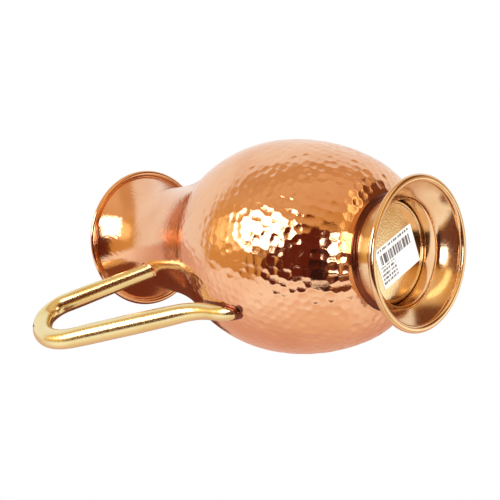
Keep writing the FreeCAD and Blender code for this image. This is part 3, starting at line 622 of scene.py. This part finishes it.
def print_mask(tree, place):
    """Return the mask of the label's print: plain bars and rows of dashes that spell nothing."""
    shift = [-offset * MM for offset in LABEL_CENTRE]
    flat = add(tree, "ShaderNodeMapping", {"Vector": place, "Location": (*shift, 0.0)}).outputs[0]
    flat = add(tree, "ShaderNodeMapping",
               {"Vector": flat, "Rotation": (0.0, 0.0, -LABEL_TURN)}).outputs[0]
    split = add(tree, "ShaderNodeSeparateXYZ", {"Vector": flat})
    u = calc(tree, "MULTIPLY", split.outputs[0], 1 / MM)
    v = calc(tree, "MULTIPLY", split.outputs[1], 1 / MM)

    def between(value, low, high):
        return calc(tree, "COMPARE", value, (low + high) / 2, (high - low) / 2)

    def box(left, right, low, high):
        """Mask a rectangle, in millimetres along and across the label from its centre."""
        return both(tree, between(u, left, right), between(v, low, high))

    def dashes(fineness, rows_per_mm, cut):
        """Mask rows of uneven dashes; with no rows, they run across as bars."""
        row = calc(tree, "FLOOR", calc(tree, "MULTIPLY", v, rows_per_mm))
        spot = add(tree, "ShaderNodeCombineXYZ",
                   {0: calc(tree, "MULTIPLY", u, fineness), 1: row}).outputs[0]
        return calc(tree, "GREATER_THAN", noise(tree, 1.0, 2.0, spot), cut)

    bars = both(tree, dashes(0.85, 0.0, 0.47), box(-14.0, 15.0, 1.6, 7.6))
    rows_per_mm = 0.42
    across_row = calc(tree, "FRACT", calc(tree, "MULTIPLY", v, rows_per_mm))
    rows = both(tree, dashes(0.9, rows_per_mm, 0.48), calc(tree, "LESS_THAN", across_row, 0.62))
    printed = calc(tree, "MAXIMUM", box(-15.0, 16.0, 8.6, 11.0), box(3.0, 17.0, -10.0, 0.8))
    return calc(tree, "MINIMUM", calc(tree, "ADD", bars, both(tree, rows, printed)), 1.0)


def paper_material():
    """White label paper, faintly mottled, with its print."""
    material, tree, shader = new_material("label_paper")
    place = add(tree, "ShaderNodeTexCoord").outputs["Object"]
    blank = blend(tree, noise(tree, 400.0, 3.0, place), PAPER_WHITE, PAPER_GREY)
    colour = blend(tree, print_mask(tree, place), blank, INK)
    worn = fade(tree, noise(tree, 600.0, 2.0, place), 0.3, 0.7, 0.5, 0.7)
    finish(tree, shader, 0.0, colour, worn, noise(tree, 900.0, 2.0, place), 0.1, 0.0001)
    return material


paper = paper_material()

belly, neck = make_shell()
for piece, node, material in (
        (belly, "belly", hammered_copper),
        (neck, "neck", hammered_copper),
        (make_foot(), "foot_ring", foot_brass),
        (make_disc(), "base_disc", spun_copper),
        (make_foot_fillet(), "foot_braze", braze_metal),
        (make_handle(), "handle", polished_brass),
        (make_fillet("top_fillet", 190.0, 226.0, 16.0, 1.2), "handle_top_braze",
         hammered_copper),
        # dark braze at the handle's lower end, made wide as painted contact shadow on the belly
        (make_fillet("foot_end_fillet_and_shade", 80.0, 136.0, 13.0, 2.3), "handle_foot_braze",
         braze_metal)):
    dress(piece, material)
    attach(piece, "root")
    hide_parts(node)

for node, material in (("rim_wire", steel_wire), ("seam_braze", braze_metal),
                       ("price_label", paper)):
    dress(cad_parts[node], material)


# ---------------------------------------------------------------- camera

# The camera stands below the foot and to the side, and is rolled so that the jug lies down.
CAMERA_PLACE = Vector((0.2898, 0.2200, -0.2559))
CAMERA_AZIMUTH, CAMERA_ELEVATION, CAMERA_ROLL = np.radians((37.881, -47.416, -86.116))

CAMERA_BACK = Vector((math.cos(CAMERA_AZIMUTH) * math.cos(CAMERA_ELEVATION),
                      math.sin(CAMERA_AZIMUTH) * math.cos(CAMERA_ELEVATION),
                      math.sin(CAMERA_ELEVATION)))
level_right = Vector((0, 0, 1)).cross(CAMERA_BACK).normalized()
level_up = CAMERA_BACK.cross(level_right)
CAMERA_RIGHT = level_right * math.cos(CAMERA_ROLL) + level_up * math.sin(CAMERA_ROLL)
CAMERA_UP = CAMERA_BACK.cross(CAMERA_RIGHT)

camera_data = bpy.data.cameras.new("camera")
camera_data.sensor_width = 36.0
camera_data.lens = 57.12
camera_data.clip_start = 0.01
camera = bpy.data.objects.new("camera", camera_data)
bpy.context.scene.collection.objects.link(camera)
camera_axes = Matrix((CAMERA_RIGHT, CAMERA_UP, CAMERA_BACK)).transposed()
camera.matrix_world = Matrix.Translation(CAMERA_PLACE) @ camera_axes.to_4x4()
bpy.context.scene.camera = camera


# ---------------------------------------------------------------- studio

def studio_direction(right, up):
    """Return a direction, given in degrees right of and above the way to the camera."""
    angle = math.hypot(right, up)
    side = math.sin(math.radians(angle)) / max(angle, 1e-6)
    return (CAMERA_RIGHT * right * side + CAMERA_UP * up * side
            + CAMERA_BACK * math.cos(math.radians(angle))).normalized()


world = bpy.data.worlds.new("studio")
bpy.context.scene.world = world
world.use_nodes = True
sky = world.node_tree
sky.nodes.clear()
look = add(sky, "ShaderNodeTexCoord").outputs["Generated"]


def along(direction):
    """Return how far the view points along a direction, from -1 to 1."""
    node = add(sky, "ShaderNodeVectorMath", {0: look, 1: tuple(direction)},
               operation="DOT_PRODUCT")
    return node.outputs["Value"]


def patch(right, up, full, none):
    """Return a round mask: one within an angle of a direction, and fading to zero by another."""
    dot = along(studio_direction(right, up))
    return fade(sky, dot, math.cos(math.radians(none)), math.cos(math.radians(full)))


def panel(right, up, half_width, half_height, edge):
    """Return the mask of a rectangle that faces the jug from a direction; its edge is soft."""
    centre = studio_direction(right, up)
    side = CAMERA_UP.cross(centre).normalized()
    top = centre.cross(side)
    depth = along(centre)
    x = calc(sky, "ABSOLUTE", calc(sky, "DIVIDE", along(side), depth))
    y = calc(sky, "ABSOLUTE", calc(sky, "DIVIDE", along(top), depth))
    reach_x, reach_y = math.tan(math.radians(half_width)), math.tan(math.radians(half_height))
    inside = both(sky, fade(sky, x, reach_x + edge, reach_x),
                  fade(sky, y, reach_y + edge, reach_y))
    return both(sky, inside, calc(sky, "GREATER_THAN", depth, 0.0))


def painted(ground, layers):
    """Lay colours over a ground colour, each where its mask is one, and return the result."""
    for mask, colour in layers:
        ground = blend(sky, mask, ground, colour)
    return ground


WHITE, LAMP = (1.0, 0.98, 0.96), (7.0, 6.9, 6.7)
to_back, to_top, to_right = along(CAMERA_BACK), along(CAMERA_UP), along(CAMERA_RIGHT)

# The dim room behind the camera: amber walls round a dark middle.
walls = painted((0.74, 0.44, 0.14), [
    (fade(sky, to_top, 0.35, 0.85), (0.88, 0.64, 0.40)),        # paler above
    (both(sky, fade(sky, to_back, 0.16, 0.04), fade(sky, to_top, 0.45, 0.75)),
     (0.74, 0.48, 0.25)),                                       # duller at the upper edge
    (fade(sky, to_right, 0.55, 0.9), (0.62, 0.36, 0.15)),       # browner on the right
    (patch(76, 41, 15, 25), (0.20, 0.07, 0.03)),                # a dark corner on the upper right
    (panel(34, -5, 7, 14, 0.08), (0.26, 0.10, 0.04)),           # a dark upright on the right
    (patch(-84, 16, 5, 16), (1.35, 1.05, 0.50)),                # a warm glow on the far left
])
room = painted(walls, [
    (panel(-22, -11, 36, 28, 0.26), (0.13, 0.022, 0.013)),      # the dark middle
    (panel(34, -20, 21, 13, 0.12), (0.17, 0.050, 0.025)),       # its low stretch to the right
    (patch(-6, -27, 8, 20), (0.03, 0.010, 0.008)),              # nearly black below the camera
])

# The table below the jug.
table = painted((1.15, 1.12, 1.08), [
    (fade(sky, to_top, -0.65, -1.0), (0.95, 0.72, 0.55)),       # painted shadow of the jug, warmer straight below
    (fade(sky, to_back, 0.1, -0.7), (0.80, 0.52, 0.42)),        # painted shadow of the jug, redder beyond it
    (fade(sky, to_right, 0.68, 0.88), (0.74, 0.47, 0.28)),      # browner on the right
    (patch(57, -47, 3, 8), (0.30, 0.12, 0.06)),                 # a small dark spot
])
table_edge = calc(sky, "ADD", calc(sky, "MULTIPLY_ADD", to_back, 0.47, 0.30), to_top)

# All of it together, on the white sweep beyond the jug.
surroundings = painted(WHITE, [
    (fade(sky, to_back, -0.32, -0.20), room),
    (fade(sky, table_edge, 0.015, -0.015), table),
    (both(sky, fade(sky, to_top, -0.02, -0.07), fade(sky, to_right, 0.90, 0.95)),
     (1.30, 1.35, 1.20)),                                       # a pale corner far to the right
    (panel(-62, 20, 11.5, 13, 0.03), LAMP),                     # the large lamp on the left
    (panel(-44, 24, 2.5, 4, 0.03), LAMP),                       # the small lamp beside it
])

# Matt surfaces are lit evenly from all round, and the camera sees plain white behind the jug.
ray = add(sky, "ShaderNodeLightPath").outputs
seen = painted(surroundings, [
    (ray["Is Diffuse Ray"], (1.7, 1.68, 1.64)),
    (ray["Is Camera Ray"], (1.0, 1.0, 1.0)),
])
glow = add(sky, "ShaderNodeBackground", {"Color": seen, "Strength": 1.0})
sky.links.new(glow.outputs[0], add(sky, "ShaderNodeOutputWorld").inputs["Surface"])
bpy.context.scene.view_settings.view_transform = "Standard"


SQUARE = ((-1, -1), (1, -1), (1, 1), (-1, 1))


def card(name, start, right, up, distance, half_width, half_height, lean, colour):
    """Hang a plain card in front of the jug, seen only in reflections.

    It lies at a distance in metres from a start point, in a direction given in degrees right of
    and above the way to the camera, and faces that point. Its half sizes are in degrees.
    """
    way = studio_direction(right, up)
    centre = Vector(start) * MM + way * distance
    side = CAMERA_UP.cross(way).normalized()
    top = way.cross(side)
    lean = math.radians(lean)
    reach_x = (side * math.cos(lean) + top * math.sin(lean)) * math.tan(math.radians(half_width))
    reach_y = (top * math.cos(lean) - side * math.sin(lean)) * math.tan(math.radians(half_height))
    corners = [centre + (reach_x * a + reach_y * b) * distance for a, b in SQUARE]
    thing = mesh_object(name, [corner / MM for corner in corners], [(0, 1, 2, 3)])
    material, tree, shader = new_material(name)
    light = add(tree, "ShaderNodeEmission", {"Color": (*colour, 1.0), "Strength": 1.0})
    tree.links.new(light.outputs[0], tree.nodes["Material Output"].inputs["Surface"])
    dress(thing, material)
    thing.visible_camera = False
    thing.visible_diffuse = False
    thing.visible_shadow = False


# Points on the jug that the cards face, in millimetres.
BELLY_FRONT, FLARE_LOW, FLARE_FRONT = (33.3, 24.1, 26.7), (35.4, -26.4, 247.9), (42.1, 2.6, 242.6)

card("near_softbox", BELLY_FRONT, right=18, up=-1, distance=0.48,
     half_width=10, half_height=9.5, lean=0, colour=LAMP)
card("strip_light", BELLY_FRONT, right=43, up=34, distance=0.48,
     half_width=5, half_height=22, lean=-27, colour=(1.8, 1.5, 0.8))
card("table_shadow", FLARE_LOW, right=-25, up=-128, distance=0.035,
     half_width=56, half_height=56, lean=0, colour=(0.17, 0.042, 0.020))
card("handle_shadow", FLARE_FRONT, right=-60, up=-64, distance=0.07,
     half_width=22, half_height=14, lean=0, colour=(0.24, 0.08, 0.035))


def make_floor(half_size):
    """Lay the pale floor, which is seen from above only and never in the jug's reflections."""
    corners = [(x * half_size, y * half_size, 0) for x, y in SQUARE]
    thing = mesh_object("floor", corners, [(0, 1, 2, 3)])
    material, tree, shader = new_material("pale_floor")
    shader.inputs["Base Color"].default_value = (0.86, 0.85, 0.83, 1.0)
    shader.inputs["Roughness"].default_value = 0.7
    clear = add(tree, "ShaderNodeBsdfTransparent")
    behind = add(tree, "ShaderNodeNewGeometry").outputs["Backfacing"]
    one_sided = add(tree, "ShaderNodeMixShader",
                    {0: behind, 1: shader.outputs[0], 2: clear.outputs[0]})
    tree.links.new(one_sided.outputs[0], tree.nodes["Material Output"].inputs["Surface"])
    dress(thing, material)
    thing.visible_glossy = False
    thing.visible_diffuse = False
    thing.visible_shadow = False


make_floor(2000)
